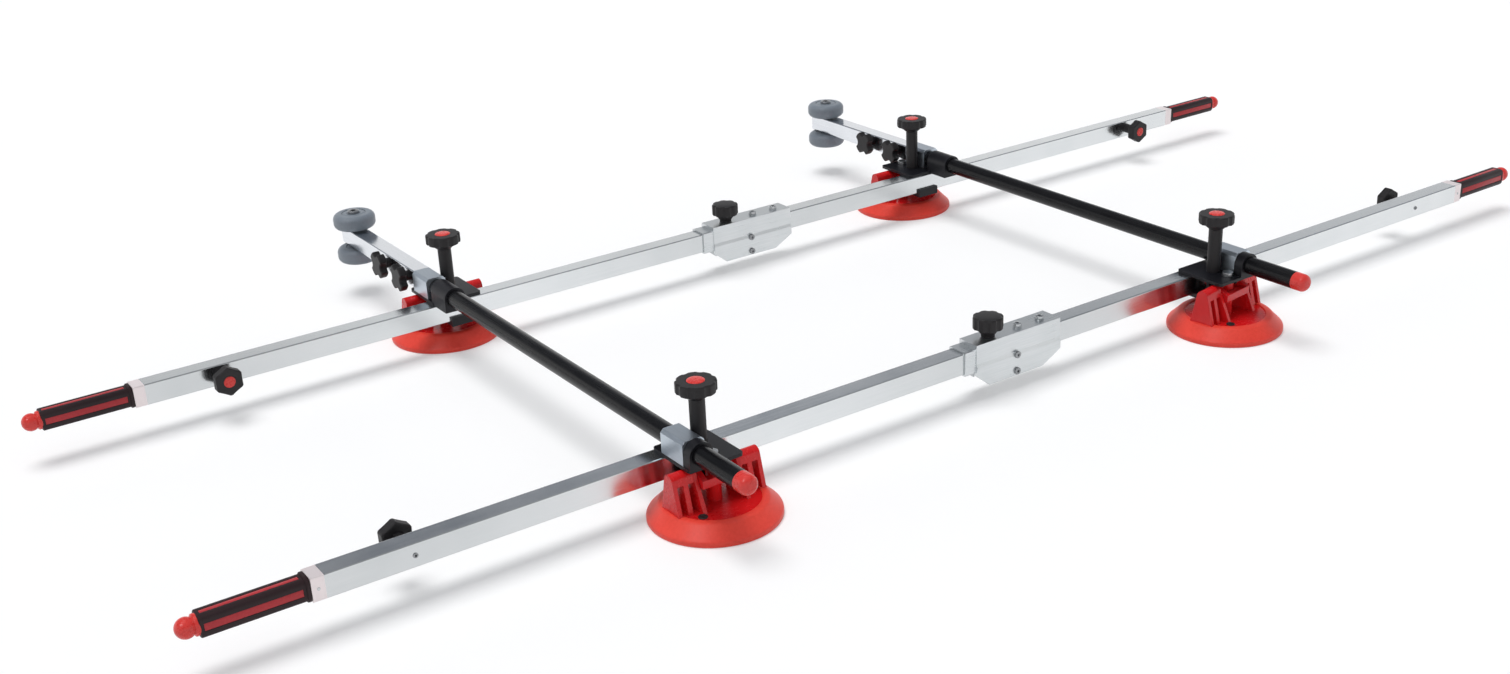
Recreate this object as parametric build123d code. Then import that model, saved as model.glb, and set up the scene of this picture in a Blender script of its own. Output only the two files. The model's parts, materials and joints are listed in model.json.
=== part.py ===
from build123d import *
import os

# Slab lifter: two rails, two cross bars, four suction cups, four telescopic handles, two wheel arms.
# Millimetres. X runs along the rails, Y across them to the wheel side, Z up from the slab.
# The origin lies on the slab, midway between the rails and at the middle of their length.

# Gaps and fits
slide_gap = 0.2
fit_gap = 0.05
screw_gap = 0.3

# Rails
rail_spacing = 572
rail_width = 25
rail_height = 27
rail_wall = 2.5
rail_corner = 1.5
rail_length = 888
rail_bottom = 40
rail_split_gap = 0.5
bush_length = 14

# Splice in the middle of each rail
splice_wall = 3
splice_roof = 7
splice_left = 60
splice_right = 78
splice_bottom = 18
splice_corner_rise = 16
splice_left_corner = 20
splice_right_corner = 30
splice_plate = 1.5
splice_plate_top = 45
splice_web_left = 30
splice_web_right = 66
splice_web_bottom = 20
splice_collar = 17
splice_collar_wall = 2
splice_knob_place = 28
splice_bolt_places = (20, 57)
splice_bolt_diameter = 6
splice_bolt_head = 11
splice_bolt_head_height = 4
splice_screw_place = 5
splice_screw_diameter = 5
splice_screw_head = 9
splice_screw_head_height = 2.5
splice_screw_boss = 11
splice_screw_rise = 5.5
splice_web_screw_rise = 3.8

# Handles
handle_tube_wall = 2
handle_tube_inside = 560
handle_tube_in_grip = 60
grip_width = 23
grip_height = 25
grip_corner = 5.5
grip_length = 96
grip_flange = 4
grip_flange_width = 26
grip_flange_height = 28
grip_flange_corner = 8
grip_neck_length = 6
grip_neck_diameter = 19
grip_ball_diameter = 23

# Knobs
knob_edge = 2
knob_lobe_round = 2
knob_flare_height = 8
cap_recess_depth = 1
side_knob_inset = 108
side_knob_diameter = 37
side_knob_lobes = 6
side_knob_scallop = 150
side_knob_scallop_depth = 2.1
side_knob_thickness = 13
side_knob_neck = 15
side_knob_neck_length = 17
side_knob_stud = 8
side_knob_cap = 15
splice_knob_diameter = 38
splice_knob_lobes = 8
splice_knob_scallop = 6.5
splice_knob_scallop_depth = 1.6
splice_knob_thickness = 16
splice_knob_flare = 28
splice_knob_neck = 17
splice_knob_neck_length = 10
splice_knob_stud = 8
clamp_knob_diameter = 46
clamp_knob_lobes = 8
clamp_knob_scallop = 7
clamp_knob_scallop_depth = 1.5
clamp_knob_thickness = 13
clamp_knob_flare = 36
clamp_knob_post = 18
clamp_knob_post_length = 67
clamp_knob_stud = 10
clamp_knob_cap = 21
arm_knob_diameter = 38
arm_knob_lobes = 4
arm_knob_scallop = 8
arm_knob_scallop_depth = 6
arm_knob_thickness = 11
arm_knob_neck = 14
arm_knob_neck_length = 6
arm_knob_stud = 8
arm_knob_places = (26, 92)

# Cross bars
left_cup_place = 464
right_cup_place = 347
bar_diameter = 23
bar_wall = 2.5
bar_overhang = 138
bar_cap_length = 19
bar_cap_round = 8
bar_cap_plug = 20
spigot_in_bar = 120
spigot_reach = 187

# Clamps at the crossings, measured from the rail's middle line outwards
plate_thickness = 4
plate_inward = 31
plate_outward_edge = 1
plate_inner_edge = 11
plate_corner = 5
sleeve_start = 8
sleeve_length = 43
sleeve_outer_wall = 4
sleeve_inner_wall = 1.2
sleeve_floor = 2
sleeve_roof = 3
sleeve_chamfer = 4
lug_length = 13
lug_wall = 3.5
collar_start = 46
collar_end = 4
post_gap = 1.3
stud_rail_gap = 6.5
jaw_thickness = 6
jaw_half_width = 18
jaw_lip = 4
jaw_lip_rise = 6
jaw_heel = 4

# Suction cups
hub_heel_gap = 6.2
near_right_turn = 8
pad_diameter = 150
pad_rim = 8
pad_rim_round = 4
pad_height = 15
chamber_depth = 2.5
chamber_diameter = 124
pad_stud_diameter = 10
pad_stud_base = 8
pad_stud_top = 34
deck_diameter = 120
deck_height = 5
deck_round = 2
hub_diameter = 17
swivel_bolt_diameter = 10
swivel_bolt_depth = 22
swivel_head_diameter = 14
swivel_head_height = 5
cheek_thickness = 5
cheek_jaw_gap = 7.5
cheek_spacing = 26
cheek_back = 16
inner_cheek_front = 26
outer_cheek_front = 18
cheek_round = 8
cheek_clearance = 1.5
cheek_foot_depth = 3
tower_rib_thickness = 6
tower_block_height = 13
vent_place = (35, 31)
vent_boss_diameter = 13
vent_boss_height = 1.5
vent_diameter = 7
vent_depth = 4

# Cup levers
lever_side_gap = 0.75
lever_pin_diameter = 8
lever_pin_reach = 14
lever_boss_diameter = 12
lever_arm_width = 6.5
lever_bar_gap = 1
lever_bar_depth = 8.5
lever_bar_height = 9.5
lever_bar_drop = 12.7

# Wheel arms and wheels
arm_size = 25
arm_corner = 2
arm_start_gap = 1
arm_bore_spare = 20
axle_inset = 23
axle_diameter = 10
axle_spacer = 18
axle_spacer_height = 1.4
axle_head = 16
axle_head_height = 3
wheel_diameter = 60
wheel_width = 22
wheel_edge = 8
wheel_hub_recess = 34
wheel_hub_depth = 1.2
wheel_side_gap = 0.3

# Heights and places that follow from the sizes above
rail_y = rail_spacing / 2
rail_hole_width = rail_width - 2 * rail_wall
rail_hole_height = rail_height - 2 * rail_wall
tube_width = rail_hole_width - 2 * slide_gap
tube_height = rail_hole_height - 2 * slide_gap
rail_top = rail_bottom + rail_height
rail_middle = rail_bottom + rail_height / 2
rail_end = rail_length + bush_length
side_knob_place = rail_end - side_knob_inset
plate_bottom = rail_top + slide_gap
plate_top = plate_bottom + plate_thickness
bar_radius = bar_diameter / 2
bar_hole = bar_radius + fit_gap
spigot_radius = bar_radius - bar_wall
bar_near_end = -rail_y - bar_overhang
bar_offset = clamp_knob_post / 2 + post_gap + sleeve_inner_wall + bar_radius
bar_height = plate_top + sleeve_floor + bar_radius
sleeve_end = sleeve_start + sleeve_length
plate_outward = bar_offset + bar_radius + lug_wall + plate_outward_edge
plate_outer_edge = sleeve_end + lug_length
stud_offset = rail_width / 2 + stud_rail_gap + clamp_knob_stud / 2
heel_face = stud_offset + clamp_knob_stud / 2 + screw_gap
cup_offset = heel_face + jaw_heel + hub_heel_gap + hub_diameter / 2
bar_far_end = rail_y + sleeve_end
arm_start = bar_far_end + arm_start_gap
arm_bore_length = spigot_reach - arm_start_gap + arm_bore_spare
arm_length = arm_bore_length + 2 * axle_inset
axle_y = arm_start + arm_length - axle_inset
jaw_top = rail_bottom - slide_gap
deck_top = pad_height + deck_height
hub_top = plate_bottom - slide_gap
cheek_inner_place = jaw_half_width + cheek_jaw_gap + cheek_thickness / 2
cheek_outer_place = cheek_inner_place + cheek_spacing
lever_half_width = cheek_inner_place - cheek_thickness / 2 - lever_side_gap
lever_bar_near = hub_diameter / 2 + lever_bar_gap
pin_height = plate_bottom - cheek_clearance - cheek_round
cup_places = {"left": -left_cup_place, "right": right_cup_place}
bar_places = {"left": -left_cup_place - bar_offset, "right": right_cup_place + bar_offset}
sides = {"near": -1, "far": 1}
ends = {"left": -1, "right": 1}


def lobed_outline(diameter, lobes, scallop_radius, scallop_depth):
    """Round knob outline with evenly spaced scallops, its lobes rounded."""
    outline = Circle(diameter / 2)
    reach = diameter / 2 + scallop_radius - scallop_depth
    outline -= PolarLocations(reach, lobes) * Circle(scallop_radius)
    return fillet(outline.vertices(), knob_lobe_round)


def knob(head_outline, thickness, neck, neck_length, stud, stud_length, cap=0, flare=0):
    """Knob with its seat at z=0: neck and lobed head above, threaded stud below."""
    head = Pos(0, 0, neck_length) * extrude(head_outline, thickness)
    rims = head.edges().group_by(Axis.Z)
    head = fillet(rims[0] + rims[-1], knob_edge)
    top = neck_length + thickness
    if cap:
        head -= Pos(0, 0, top) * Cylinder(cap / 2, 2 * cap_recess_depth)
    if flare:
        head += Pos(0, 0, neck_length - knob_flare_height / 2) * Cone(neck / 2, flare / 2, knob_flare_height)
    return head + post(neck / 2, 0, neck_length + thickness / 2) + post(stud / 2, -stud_length, 0)


def along_x(outline, start, length):
    """Prism along X from a section drawn in the YZ plane."""
    return Pos(start, 0, 0) * extrude(Plane.YZ * outline, length, dir=(1, 0, 0))


def along_y(outline, start, length):
    """Prism along Y from a section drawn with X across and Z up."""
    return Pos(0, start, 0) * extrude(Plane.XZ * outline, length, dir=(0, 1, 0))


def post(radius, low, high):
    """Upright cylinder on the Z axis between two heights."""
    return Pos(0, 0, low) * Cylinder(radius, high - low, align=(Align.CENTER, Align.CENTER, Align.MIN))


def box_between(low, high):
    """Box from its lowest to its highest corner."""
    size = [top - bottom for bottom, top in zip(low, high)]
    middle = [(top + bottom) / 2 for bottom, top in zip(low, high)]
    return Pos(*middle) * Box(*size)


def save(node, *solids):
    """Write one piece, or a group of pieces of one kind, as a STEP file."""
    shape = solids[0] if len(solids) == 1 else Compound(list(solids))
    export_step(shape, f"parts/{node}.step")


# Rails: tube halves with an end bush, drilled for the handle lock and the splice bolts

def rail_section(inset):
    return RectangleRounded(rail_width - 2 * inset, rail_height - 2 * inset, rail_corner)


def rail_half(side, end):
    """Half a rail from the split at the middle to the bush at its end."""
    hollow = Rectangle(rail_hole_width, rail_hole_height)
    tube = along_x(rail_section(0) - hollow, rail_split_gap / 2, rail_length - rail_split_gap / 2)
    bush = along_x(rail_section(0) - hollow, rail_length, bush_length)
    stud_hole = Cylinder(side_knob_stud / 2 + screw_gap, rail_width, rotation=(90, 0, 0))
    tube -= Pos(side_knob_place, -rail_width / 2, 0) * stud_hole
    if end > 0:
        for place in splice_bolt_places:
            bolt_hole = Cylinder(splice_bolt_diameter / 2 + screw_gap, 2 * rail_wall)
            tube -= Pos(place, 0, rail_height / 2) * bolt_hole
        screw_hole = Cylinder(splice_screw_diameter / 2 + screw_gap, 2 * rail_width, rotation=(90, 0, 0))
        tube -= Pos(splice_screw_place, 0, screw_height) * screw_hole
    return [on_rail(piece, side, end) for piece in (tube, bush)]


def on_rail(shape, side, end):
    """Place a shape drawn for the far right rail half on any rail half."""
    if end < 0:
        shape = shape.mirror(Plane.YZ)
    if side < 0:
        shape = shape.mirror(Plane.XZ)
    return Pos(0, side * rail_y, rail_middle) * shape


# Splice: a channel over both rail halves, screwed to the right half, with a clamp knob on the left

splice_width = rail_width + 2 * slide_gap + 2 * splice_wall
plate_width = splice_width + 2 * splice_plate
splice_top = rail_height / 2 + slide_gap + splice_roof
web_top = -rail_height / 2 - slide_gap
skirt_bottom = splice_bottom - rail_middle
web_bottom = splice_web_bottom - rail_middle
plate_edge = splice_plate_top - rail_middle
screw_height = splice_screw_rise - rail_height / 2
web_screw_height = web_bottom + splice_web_screw_rise
passage = Rectangle(rail_width + 2 * slide_gap, rail_height + 2 * slide_gap)


def splice_channel():
    """Channel with a thicker plate on the lower part of each face and a collar at its left end."""
    side_view = Polygon(
        (-splice_left, splice_top),
        (splice_right, splice_top),
        (splice_right, skirt_bottom + splice_corner_rise),
        (splice_right - splice_right_corner, skirt_bottom),
        (splice_left_corner - splice_left, skirt_bottom),
        (-splice_left, skirt_bottom + splice_corner_rise),
        align=None,
    )
    length = splice_left + splice_right
    channel = along_y(side_view, -splice_width / 2, splice_width)
    plates = along_y(side_view, -plate_width / 2, plate_width)
    plates -= box_between((-length, -plate_width, plate_edge), (length, plate_width, 2 * splice_top))
    boss = Cylinder(splice_screw_boss / 2, plate_width, rotation=(90, 0, 0))
    channel += plates + Pos(splice_screw_place, 0, screw_height) * boss
    inside = splice_width / 2 - splice_wall
    channel -= along_x(passage, -splice_left, length)
    for start, stop in ((-splice_left, -splice_web_left), (splice_web_right, splice_right)):
        channel -= box_between((start, -inside, skirt_bottom), (stop, inside, 0))
    channel -= box_between((-splice_left, -inside, skirt_bottom), (splice_right, inside, web_bottom))
    collar_width = rail_width + 2 * slide_gap + 2 * splice_collar_wall
    collar_height = rail_height + 2 * slide_gap + 2 * splice_collar_wall
    collar_section = RectangleRounded(collar_width, collar_height, rail_corner) - passage
    channel += along_x(collar_section, -splice_left - splice_collar, splice_collar)
    for place in splice_bolt_places:
        bolt_hole = Cylinder(splice_bolt_diameter / 2 + screw_gap, 3 * splice_roof)
        channel -= Pos(place, 0, splice_top) * bolt_hole
    stud_hole = Cylinder(splice_knob_stud / 2 + screw_gap, 3 * splice_roof)
    channel -= Pos(-splice_knob_place, 0, splice_top) * stud_hole
    for height in (screw_height, web_screw_height):
        hole = Cylinder(splice_screw_diameter / 2 + screw_gap, 2 * splice_width, rotation=(90, 0, 0))
        channel -= Pos(splice_screw_place, 0, height) * hole
    return channel


def splice_screws():
    """Two bolts through the roof and two cross screws with a head on each face."""
    screws = []
    for place in splice_bolt_places:
        bolt = post(splice_bolt_head / 2, 0, splice_bolt_head_height)
        bolt += post(splice_bolt_diameter / 2, -splice_roof - slide_gap - rail_wall, 0)
        screws.append(Pos(place, 0, splice_top) * bolt)
    for height in (screw_height, web_screw_height):
        shank = Cylinder(splice_screw_diameter / 2, plate_width, rotation=(90, 0, 0))
        head = Cylinder(splice_screw_head / 2, splice_screw_head_height, rotation=(90, 0, 0))
        reach = (plate_width + splice_screw_head_height) / 2
        screw = shank + Pos(0, reach, 0) * head + Pos(0, -reach, 0) * head
        screws.append(Pos(splice_screw_place, 0, height) * screw)
    return screws


def splice_knob():
    """Mushroom knob on the splice roof; its stud ends just above the left rail half."""
    stud_length = splice_roof + slide_gap - screw_gap
    outline = lobed_outline(
        splice_knob_diameter, splice_knob_lobes, splice_knob_scallop, splice_knob_scallop_depth
    )
    shape = knob(
        outline, splice_knob_thickness, splice_knob_neck, splice_knob_neck_length,
        splice_knob_stud, stud_length, flare=splice_knob_flare,
    )
    return Pos(-splice_knob_place, 0, splice_top) * shape


# Handles: an inner tube that slides in the rail, a grip with a flange, a neck and a ball end

def handle_tube():
    section = RectangleRounded(tube_width, tube_height, rail_corner)
    section -= Rectangle(tube_width - 2 * handle_tube_wall, tube_height - 2 * handle_tube_wall)
    return along_x(section, rail_end - handle_tube_inside, handle_tube_inside + handle_tube_in_grip)


def grip():
    flange_start = rail_end + slide_gap
    body_start = flange_start + grip_flange
    body_end = body_start + grip_length
    flange_section = RectangleRounded(grip_flange_width, grip_flange_height, grip_flange_corner)
    shape = along_x(flange_section, flange_start, grip_flange)
    shape += along_x(RectangleRounded(grip_width, grip_height, grip_corner), body_start, grip_length)
    neck = Cylinder(grip_neck_diameter / 2, grip_neck_length + grip_ball_diameter / 2, rotation=(0, 90, 0))
    shape += Pos(body_end + (grip_neck_length + grip_ball_diameter / 2) / 2, 0, 0) * neck
    shape += Pos(body_end + grip_neck_length + grip_ball_diameter / 2, 0, 0) * Sphere(grip_ball_diameter / 2)
    pocket = RectangleRounded(tube_width, tube_height, rail_corner)
    return shape - along_x(pocket, flange_start, handle_tube_in_grip - slide_gap)


def side_knob():
    """Handle lock knob on the rail's inner face; its stud ends just short of the handle tube."""
    stud_length = rail_wall + slide_gap - screw_gap / 2
    outline = lobed_outline(side_knob_diameter, side_knob_lobes, side_knob_scallop, side_knob_scallop_depth)
    shape = knob(
        outline, side_knob_thickness, side_knob_neck, side_knob_neck_length,
        side_knob_stud, stud_length, cap=side_knob_cap,
    )
    return Pos(side_knob_place, -rail_width / 2, 0) * Rot(90, 0, 0) * shape


# Cross bars: black tube with a red cap at the near end and a round spigot at the far end

def bar_tube():
    return along_y(Circle(bar_radius) - Circle(spigot_radius), bar_near_end, bar_far_end - bar_near_end)


def bar_spigot():
    return along_y(Circle(spigot_radius), bar_far_end - spigot_in_bar, spigot_in_bar + spigot_reach)


def bar_cap():
    cap = along_y(Circle(bar_radius), bar_near_end - bar_cap_length, bar_cap_length)
    cap = fillet(cap.edges().group_by(Axis.Y)[0], bar_cap_round)
    return cap + along_y(Circle(spigot_radius), bar_near_end, bar_cap_plug)


# Clamps, drawn for the far right crossing: X outwards along the rail, Y outwards across it

def bar_place(outline):
    """Move an XZ section to the cross bar's axis."""
    return Pos(bar_offset, bar_height) * outline


def clamp_plate(side):
    """Black plate on the rail with the block that holds the bar."""
    plate = box_between(
        (-plate_inward, -plate_inner_edge, plate_bottom),
        (plate_outward, plate_outer_edge, plate_top),
    )
    plate = fillet(plate.edges().filter_by(Axis.Z), plate_corner)
    block_radius = bar_radius + lug_wall
    block_start = sleeve_end if side < 0 else -collar_start
    block_length = lug_length if side < 0 else collar_start - collar_end
    block = along_y(bar_place(Circle(block_radius)), block_start, block_length)
    block += box_between(
        (bar_offset - block_radius, block_start, plate_bottom),
        (bar_offset + block_radius, block_start + block_length, bar_height),
    )
    plate += block
    plate -= along_y(bar_place(Circle(bar_hole)), block_start, block_length)
    stud_hole = Cylinder(clamp_knob_stud / 2 + screw_gap, 4 * plate_thickness)
    plate -= Pos(0, stud_offset, plate_bottom) * stud_hole
    bolt_hole = Cylinder(swivel_bolt_diameter / 2 + fit_gap, 4 * plate_thickness)
    return plate - Pos(0, cup_offset, plate_bottom) * bolt_hole


def clamp_jaw():
    """Jaw under the rail, with a lip on the inner face and a heel that bears on the plate."""
    stud_radius = clamp_knob_stud / 2
    lip_face = -rail_width / 2 - slide_gap
    jaw = box_between(
        (-jaw_half_width, lip_face - jaw_lip, jaw_top - jaw_thickness),
        (jaw_half_width, heel_face + jaw_heel, jaw_top),
    )
    jaw += box_between(
        (-jaw_half_width, lip_face - jaw_lip, jaw_top),
        (jaw_half_width, lip_face, rail_bottom + jaw_lip_rise),
    )
    jaw += box_between(
        (-jaw_half_width, heel_face, jaw_top),
        (jaw_half_width, heel_face + jaw_heel, plate_bottom - slide_gap),
    )
    return jaw - Pos(0, stud_offset, jaw_top) * Cylinder(stud_radius + fit_gap, 4 * jaw_thickness)


def bar_sleeve():
    """Bright block on the plate, bored for the cross bar."""
    sleeve = box_between(
        (bar_offset - bar_radius - sleeve_inner_wall, sleeve_start, plate_top),
        (bar_offset + bar_radius + sleeve_outer_wall, sleeve_end, bar_height + bar_radius + sleeve_roof),
    )
    top_edges = sleeve.edges().filter_by(Axis.Y).group_by(Axis.Z)[-1]
    sleeve = chamfer(top_edges, sleeve_chamfer)
    return sleeve - along_y(bar_place(Circle(bar_hole)), sleeve_start, sleeve_length)


def clamp_knob():
    """Tall knob that draws the jaw up against the rail."""
    outline = lobed_outline(
        clamp_knob_diameter, clamp_knob_lobes, clamp_knob_scallop, clamp_knob_scallop_depth
    )
    stud_length = plate_top - jaw_top + jaw_thickness
    shape = knob(
        outline, clamp_knob_thickness, clamp_knob_post, clamp_knob_post_length,
        clamp_knob_stud, stud_length, cap=clamp_knob_cap, flare=clamp_knob_flare,
    )
    return Pos(0, stud_offset, plate_top) * shape


def at_crossing(shape, side, end):
    """Place a shape drawn for the far right crossing at any crossing."""
    if end < 0:
        shape = shape.mirror(Plane.YZ)
    if side < 0:
        shape = shape.mirror(Plane.XZ)
    end_name = "left" if end < 0 else "right"
    return Pos(cup_places[end_name], side * rail_y, 0) * shape


# Suction cups, drawn with the cup's axis at the origin and Y outwards from the rail

def pad_outline():
    """Half section of the pad: flat sealing face, thick rim, sloping skirt, seat for the deck."""
    rim = pad_diameter / 2
    seat = deck_diameter / 2
    chamber = chamber_diameter / 2
    return Polygon(
        (0, chamber_depth),
        (chamber - chamber_depth, chamber_depth),
        (chamber, 0),
        (rim, 0),
        (rim, pad_rim),
        (seat, pad_height),
        (0, pad_height),
        align=None,
    )


def cup_pad():
    pad = revolve(Plane.XZ * pad_outline(), Axis.Z)
    rim_edge = pad.edges().filter_by(GeomType.CIRCLE).sort_by(SortBy.RADIUS)[-2:].sort_by(Axis.Z)[-1]
    pad = fillet(rim_edge, pad_rim_round)
    return pad - pad_stud(0)


def pad_stud(gap):
    return post(pad_stud_diameter / 2 + gap, pad_stud_base, pad_stud_top)


def swivel_bolt():
    """Bolt that hangs the cup under the clamp plate and lets it turn."""
    head_base = plate_top + slide_gap
    shank = post(swivel_bolt_diameter / 2, hub_top - swivel_bolt_depth, head_base)
    return shank + post(swivel_head_diameter / 2, head_base, head_base + swivel_head_height)


def cheek_outline(front):
    """Upright cheek seen along X: wide foot sunk in the deck, round head about the lever pin."""
    foot = Pos((front - cheek_back) / 2, deck_top - cheek_foot_depth / 2) * Rectangle(
        front + cheek_back, cheek_foot_depth
    )
    head = Pos(0, pin_height) * Circle(cheek_round)
    return make_hull(foot.edges() + head.edges())


def tower():
    """One side's upright: an inner and an outer cheek, a rib between them and a block across the top."""
    outline = cheek_outline(outer_cheek_front)
    half = cheek_thickness / 2
    shape = along_x(cheek_outline(inner_cheek_front), cheek_inner_place - half, cheek_thickness)
    shape += along_x(outline, cheek_outer_place - half, cheek_thickness)
    rib_place = (cheek_inner_place + cheek_outer_place - tower_rib_thickness) / 2
    shape += along_x(outline, rib_place, tower_rib_thickness)
    block_low = pin_height + cheek_round - tower_block_height
    block = along_x(outline, cheek_inner_place, cheek_spacing)
    block -= box_between((0, -pad_diameter, 0), (pad_diameter, pad_diameter, block_low))
    shape += block
    bore_start = cheek_inner_place - half
    bore = Circle(lever_pin_diameter / 2 + fit_gap)
    return shape - along_x(Pos(0, pin_height) * bore, bore_start, lever_pin_reach + screw_gap)


def cup_body():
    """Rigid deck with the hub, two towers for the lever and the vent boss."""
    deck = post(deck_diameter / 2, pad_height, deck_top)
    deck = fillet(deck.edges().group_by(Axis.Z)[-1], deck_round)
    body = deck + post(hub_diameter / 2, pad_height, hub_top)
    body += tower() + tower().mirror(Plane.YZ)
    body += Pos(*vent_place, deck_top) * Cylinder(vent_boss_diameter / 2, 2 * vent_boss_height)
    body -= Pos(*vent_place, deck_top + vent_boss_height) * Cylinder(vent_diameter / 2, 2 * vent_depth)
    return body - pad_stud(screw_gap) - swivel_bolt()


def cup_lever():
    """Lever between the towers: an arm at each end and a cross bar in front of the hub."""
    bar_low = pin_height - lever_bar_drop
    bar_section = Pos(lever_bar_near + lever_bar_depth / 2, bar_low + lever_bar_height / 2) * Rectangle(
        lever_bar_depth, lever_bar_height
    )
    boss = Pos(0, pin_height) * Circle(lever_boss_diameter / 2)
    arm_section = make_hull(bar_section.edges() + boss.edges())
    arm_section -= Pos(0, pin_height) * Circle(lever_pin_diameter / 2)
    lever = along_x(bar_section, -lever_half_width, 2 * lever_half_width)
    for start in (-lever_half_width, lever_half_width - lever_arm_width):
        lever += along_x(arm_section, start, lever_arm_width)
    return lever


def lever_pins():
    start = lever_half_width - lever_arm_width
    stop = cheek_inner_place - cheek_thickness / 2 + lever_pin_reach
    pin = Cylinder(lever_pin_diameter / 2, stop - start, rotation=(0, 90, 0))
    return [Pos(side * (start + stop) / 2, 0, pin_height) * pin for side in (-1, 1)]


def at_cup(shape, side, end):
    """Turn a cup piece to its side of the frame and place it under its clamp plate."""
    turn = 0 if side > 0 else 180
    if side < 0 and end > 0:
        turn += near_right_turn
    end_name = "left" if end < 0 else "right"
    return Pos(cup_places[end_name], side * (rail_y + cup_offset), 0) * Rot(0, 0, turn) * shape


# Wheel arms: square bar bored for the spigot, a vertical axle, a wheel above and one below

def wheel_arm(place):
    section = Pos(0, bar_height) * RectangleRounded(arm_size, arm_size, arm_corner)
    arm = along_y(section, arm_start, arm_length)
    arm -= along_y(Pos(0, bar_height) * Circle(spigot_radius + fit_gap), arm_start, arm_bore_length)
    arm -= Pos(0, axle_y, bar_height) * Cylinder(axle_diameter / 2, 2 * arm_size)
    for knob_place in arm_knob_places:
        hole = Cylinder(arm_knob_stud / 2 + screw_gap, arm_size, rotation=(0, 90, 0))
        arm -= Pos(-arm_size / 2, arm_start + knob_place, bar_height) * hole
    return Pos(place, 0, 0) * arm


def axle(place):
    """Axle bolt: spacers against the arm, a head above and a nut below the wheels."""
    wheel_start = arm_size / 2 + axle_spacer_height
    wheel_space = wheel_width + 2 * wheel_side_gap
    half_length = wheel_start + wheel_space + axle_head_height
    bolt = Cylinder(axle_diameter / 2, 2 * half_length)
    for direction in (-1, 1):
        spacer_middle = direction * (arm_size + axle_spacer_height) / 2
        bolt += Pos(0, 0, spacer_middle) * Cylinder(axle_spacer / 2, axle_spacer_height)
        head_middle = direction * (half_length - axle_head_height / 2)
        bolt += Pos(0, 0, head_middle) * Cylinder(axle_head / 2, axle_head_height)
    return Pos(place, axle_y, bar_height) * bolt


def wheel(place, direction):
    tread = Cylinder(wheel_diameter / 2, wheel_width)
    tread = fillet(tread.edges(), wheel_edge)
    for face in (-1, 1):
        recess = Cylinder(wheel_hub_recess / 2, 2 * wheel_hub_depth)
        recess -= Cylinder(axle_spacer / 2, 2 * wheel_hub_depth)
        tread -= Pos(0, 0, face * wheel_width / 2) * recess
    tread -= Cylinder(axle_diameter / 2 + fit_gap, 2 * wheel_width)
    middle = arm_size / 2 + axle_spacer_height + wheel_side_gap + wheel_width / 2
    return Pos(place, axle_y, bar_height + direction * middle) * tread


def arm_knob(place, distance):
    """Lock knob on the arm's left face; its stud ends just short of the spigot."""
    stud_length = arm_size / 2 - spigot_radius - screw_gap
    outline = lobed_outline(arm_knob_diameter, arm_knob_lobes, arm_knob_scallop, arm_knob_scallop_depth)
    shape = knob(
        outline, arm_knob_thickness, arm_knob_neck, arm_knob_neck_length,
        arm_knob_stud, stud_length,
    )
    return Pos(place - arm_size / 2, arm_start + distance, bar_height) * Rot(0, -90, 0) * shape


# Write every piece

os.makedirs("parts", exist_ok=True)

for side_name, side in sides.items():
    channel = splice_channel()
    bolts = splice_screws()
    lock = splice_knob()
    save(f"{side_name}_splice", on_rail(channel, side, 1))
    save(f"{side_name}_splice_screws", *[on_rail(bolt, side, 1) for bolt in bolts])
    save(f"{side_name}_splice_knob", on_rail(lock, side, 1))
    for end_name, end in ends.items():
        save(f"{side_name}_rail_{end_name}", *rail_half(side, end))
        corner = f"{side_name}_{end_name}"
        save(f"{corner}_handle_tube", on_rail(handle_tube(), side, end))
        save(f"{corner}_grip", on_rail(grip(), side, end))
        save(f"{corner}_side_knob", on_rail(side_knob(), side, end))
        clamp = [clamp_plate(side), clamp_jaw()]
        save(f"{corner}_clamp", *[at_crossing(piece, side, end) for piece in clamp])
        save(f"{corner}_bar_sleeve", at_crossing(bar_sleeve(), side, end))
        save(f"{corner}_clamp_knob", at_crossing(clamp_knob(), side, end))
        cup = {
            "cup_pad": [cup_pad(), pad_stud(0)],
            "cup_body": [cup_body(), swivel_bolt()],
            "cup_lever": [cup_lever(), *lever_pins()],
        }
        for piece_name, pieces in cup.items():
            save(f"{corner}_{piece_name}", *[at_cup(piece, side, end) for piece in pieces])

for end_name, place in bar_places.items():
    at_bar = Pos(place, 0, bar_height)
    save(f"{end_name}_cross_bar", at_bar * bar_tube(), at_bar * bar_spigot())
    save(f"{end_name}_bar_cap", at_bar * bar_cap())
    save(f"{end_name}_wheel_arm", wheel_arm(place), axle(place))
    save(f"{end_name}_upper_wheel", wheel(place, 1))
    save(f"{end_name}_lower_wheel", wheel(place, -1))
    for knob_name, distance in zip(("inner", "outer"), arm_knob_places):
        save(f"{end_name}_{knob_name}_arm_knob", arm_knob(place, distance))
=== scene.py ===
# %% [markdown]
# A frame for carrying thin ceramic slabs: two telescopic rails, two cross bars, four suction cups and
# two wheel arms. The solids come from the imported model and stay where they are. This lesson gives them
# their finishes and models what the solids leave plain: the rubber pads, the grips, caps and screws.

# %% Load the frame
import json
import math

import bmesh
import bpy
from mathutils import Matrix, Vector


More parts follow.
